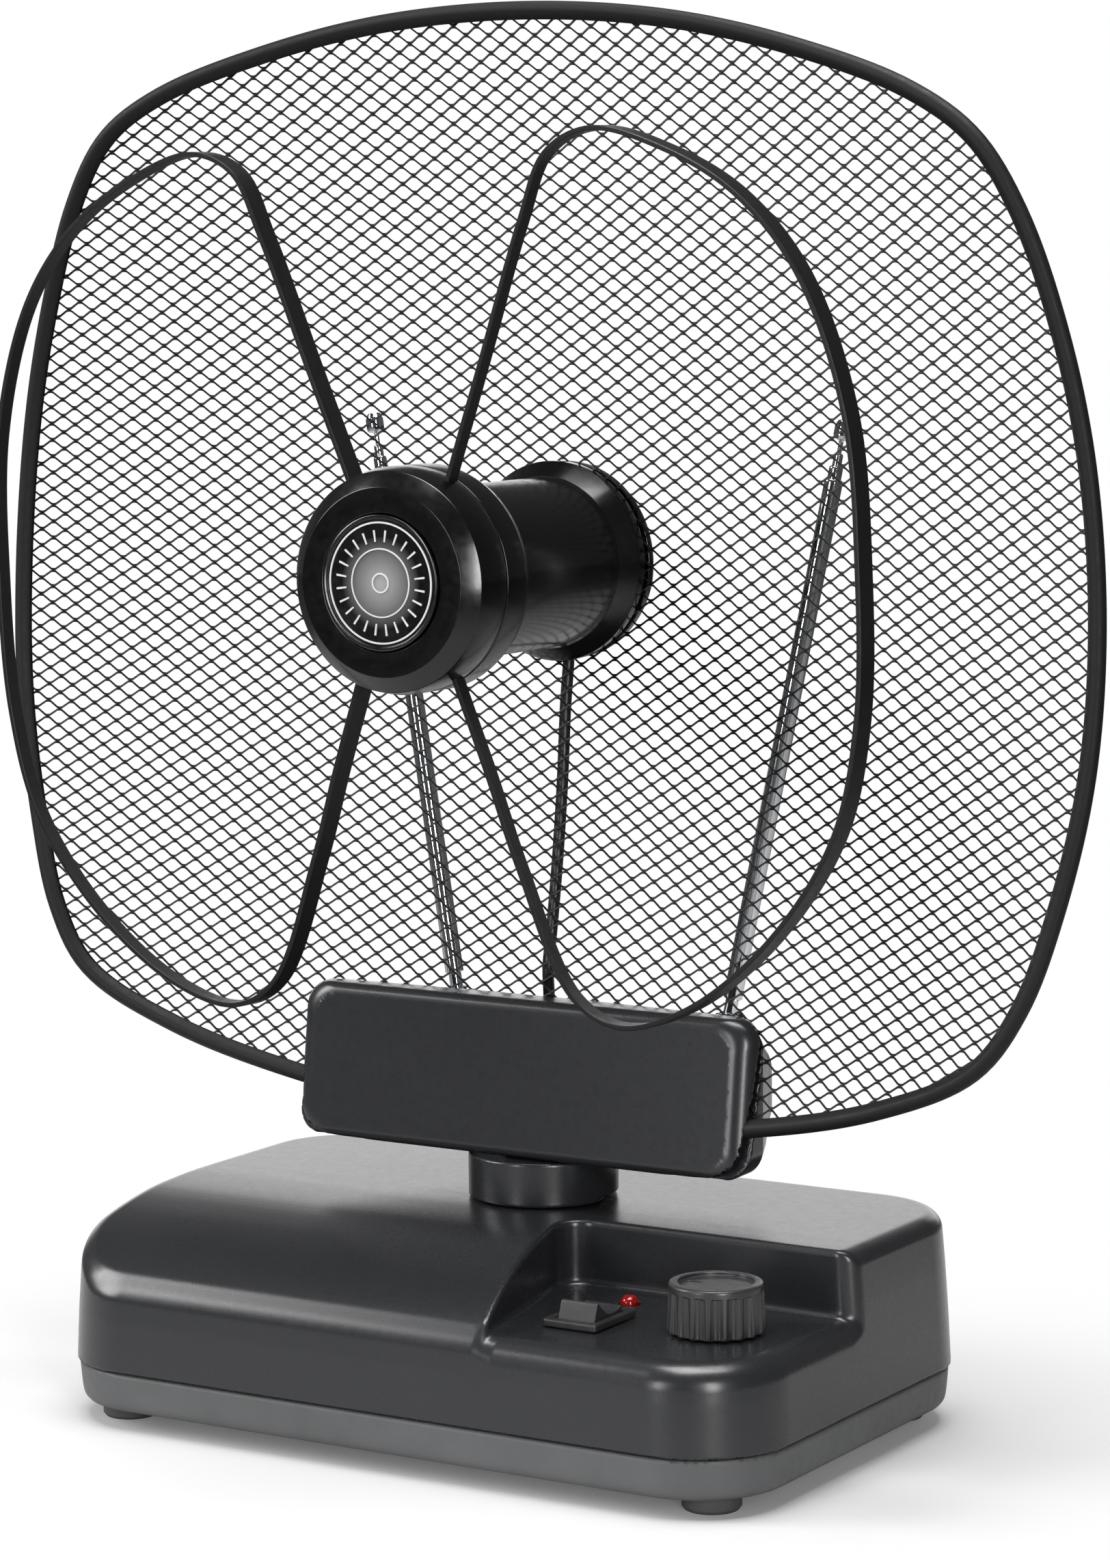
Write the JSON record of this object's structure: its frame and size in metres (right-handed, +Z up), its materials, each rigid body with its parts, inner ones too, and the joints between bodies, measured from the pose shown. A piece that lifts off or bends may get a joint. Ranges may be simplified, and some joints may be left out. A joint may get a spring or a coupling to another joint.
{
  "type": "indoor television antenna",
  "caption": "Tabletop aerial: weighted base with controls, swivel head, dished wire-mesh reflector, boom with butterfly strip loops, telescopic rear ears.",
  "frame": {"origin": "on the table surface under the middle of the base", "axes": "+Z up, the loops face -Y, +X is the right side seen from the front"},
  "size_m": [0.3438, 0.1415, 0.3809],
  "materials": {
    "shell_plastic": "satin",
    "tray_plastic": "matte",
    "gloss_black": "gloss",
    "foot_rubber": "matte",
    "ballast_steel": "satin",
    "circuit_board": "satin",
    "chrome": "polished",
    "brass": "satin",
    "knob_plastic": "satin",
    "led_lens": "gloss",
    "mesh_paint": "satin",
    "strip_paint": "satin",
    "cable_jacket": "matte",
    "emblem_face": "gloss"
  },
  "bodies": {
    "base": {"base_top_shell": "shell_plastic", "base_bottom_tray": "tray_plastic", "foot_1": "foot_rubber", "foot_2": "foot_rubber", "foot_3": "foot_rubber", "foot_4": "foot_rubber", "tray_screw_1": "ballast_steel", "tray_screw_2": "ballast_steel", "tray_screw_3": "ballast_steel", "tray_screw_4": "ballast_steel", "ballast_plate": "ballast_steel", "amplifier_board": "circuit_board", "coax_output_jack": "brass", "power_inlet_jack": "gloss_black", "led_lamp": "led_lens", "switch_housing": "gloss_black", "gain_control_body": "ballast_steel"},
    "rocker": {"power_rocker": "gloss_black"},
    "knob": {"gain_knob": "knob_plastic"},
    "head": {"swivel_neck": "shell_plastic", "swivel_retainer": "ballast_steel", "reflector_rim": "mesh_paint", "reflector_mesh": "mesh_paint", "head_front_shell": "shell_plastic", "head_rear_shell": "shell_plastic", "head_screw_1": "ballast_steel", "head_screw_2": "ballast_steel", "combiner_board": "circuit_board", "boom_tube": "gloss_black", "boom_rear_cap": "gloss_black", "boom_screw": "ballast_steel", "loop_left": "strip_paint", "loop_right": "strip_paint", "hub_body": "gloss_black", "hub_bezel": "gloss_black", "hub_emblem": "emblem_face", "balun_board": "circuit_board", "coax_lead": "cable_jacket"},
    "ear_turret_body_left": {"ear_turret_left": "chrome", "ear_pin_left": "ballast_steel"},
    "ear_outer_left": {"ear_tube_outer_left": "chrome"},
    "ear_middle_left": {"ear_tube_middle_left": "chrome"},
    "ear_inner_left": {"ear_tube_inner_left": "chrome"},
    "ear_tip_left": {"ear_tip_rod_left": "chrome"},
    "ear_turret_body_right": {"ear_turret_right": "chrome", "ear_pin_right": "ballast_steel"},
    "ear_outer_right": {"ear_tube_outer_right": "chrome"},
    "ear_middle_right": {"ear_tube_middle_right": "chrome"},
    "ear_inner_right": {"ear_tube_inner_right": "chrome"},
    "ear_tip_right": {"ear_tip_rod_right": "chrome"}
  },
  "joints": [
    {"name": "head_turn", "type": "hinge", "parent": "base", "child": "head", "pos_m": [0, 0.0175, 0.064], "axis": [0, 0, 1], "range_deg": [-90, 90]},
    {"name": "power_rock", "type": "hinge", "parent": "base", "child": "rocker", "pos_m": [0.0484, -0.0384, 0.0398], "axis": [1, 0, 0], "range_deg": [0, 28]},
    {"name": "gain_turn", "type": "hinge", "parent": "base", "child": "knob", "pos_m": [0.0825, -0.032, 0.046], "axis": [0, 0, 1], "range_deg": [-150, 150]},
    {"name": "ear_turn_left", "type": "hinge", "parent": "head", "child": "ear_turret_body_left", "pos_m": [-0.0438, 0.043, 0.105], "axis": [0, 0, -1], "range_deg": [-15, 60]},
    {"name": "ear_fold_left", "type": "hinge", "parent": "ear_turret_body_left", "child": "ear_outer_left", "pos_m": [-0.0438, 0.043, 0.105], "axis": [-0.2656, -0.9641, 0], "range_deg": [-11.4, 66]},
    {"name": "ear_slide_middle_left", "type": "slide", "parent": "ear_outer_left", "child": "ear_middle_left", "axis": [-0.1906, 0.0525, 0.9803], "range_m": [0, 0.125]},
    {"name": "ear_slide_inner_left", "type": "slide", "parent": "ear_middle_left", "child": "ear_inner_left", "axis": [-0.1906, 0.0525, 0.9803], "range_m": [0, 0.125]},
    {"name": "ear_slide_tip_left", "type": "slide", "parent": "ear_inner_left", "child": "ear_tip_left", "axis": [-0.1906, 0.0525, 0.9803], "range_m": [0, 0.125]},
    {"name": "ear_turn_right", "type": "hinge", "parent": "head", "child": "ear_turret_body_right", "pos_m": [0.0438, 0.043, 0.105], "axis": [0, 0, 1], "range_deg": [-15, 60]},
    {"name": "ear_fold_right", "type": "hinge", "parent": "ear_turret_body_right", "child": "ear_outer_right", "pos_m": [0.0438, 0.043, 0.105], "axis": [-0.2656, 0.9641, 0], "range_deg": [-11.4, 66]},
    {"name": "ear_slide_middle_right", "type": "slide", "parent": "ear_outer_right", "child": "ear_middle_right", "axis": [0.1906, 0.0525, 0.9803], "range_m": [0, 0.125]},
    {"name": "ear_slide_inner_right", "type": "slide", "parent": "ear_middle_right", "child": "ear_inner_right", "axis": [0.1906, 0.0525, 0.9803], "range_m": [0, 0.125]},
    {"name": "ear_slide_tip_right", "type": "slide", "parent": "ear_inner_right", "child": "ear_tip_right", "axis": [0.1906, 0.0525, 0.9803], "range_m": [0, 0.125]}
  ]
}
